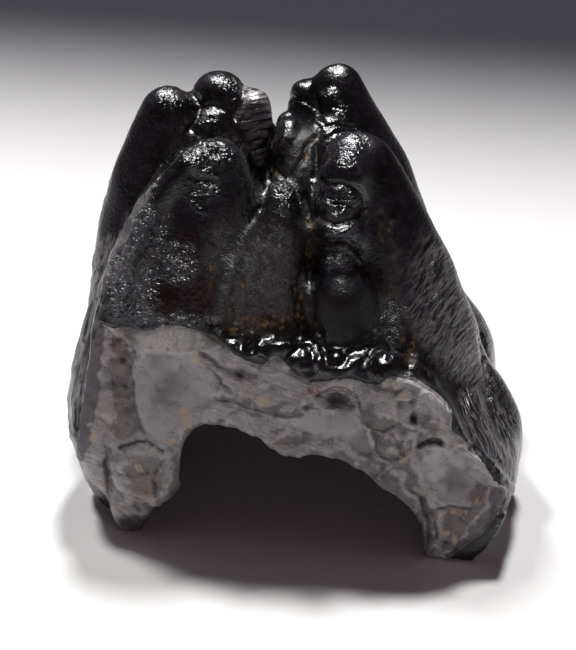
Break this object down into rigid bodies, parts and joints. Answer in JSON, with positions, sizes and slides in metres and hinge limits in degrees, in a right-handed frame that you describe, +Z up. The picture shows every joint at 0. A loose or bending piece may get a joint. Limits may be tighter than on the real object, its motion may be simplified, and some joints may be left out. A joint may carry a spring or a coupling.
{
  "type": "fossil gomphothere molar",
  "caption": "Broken fossil molar crown with high paired cusps in glossy black enamel, a grey fracture face and an open pulp cavity.",
  "frame": {"origin": "under the middle of the crown, on the surface that it stands on", "axes": "+X across the crown to the right, +Y to the far rounded end, +Z up to the cusps; the broken face looks along -Y"},
  "size_m": [0.0807, 0.0714, 0.0713],
  "materials": {
    "enamel": "glossy black fossil enamel, with a satin grey broken face"
  },
  "bodies": {
    "root": {"molar": "enamel"}
  },
  "joints": []
}
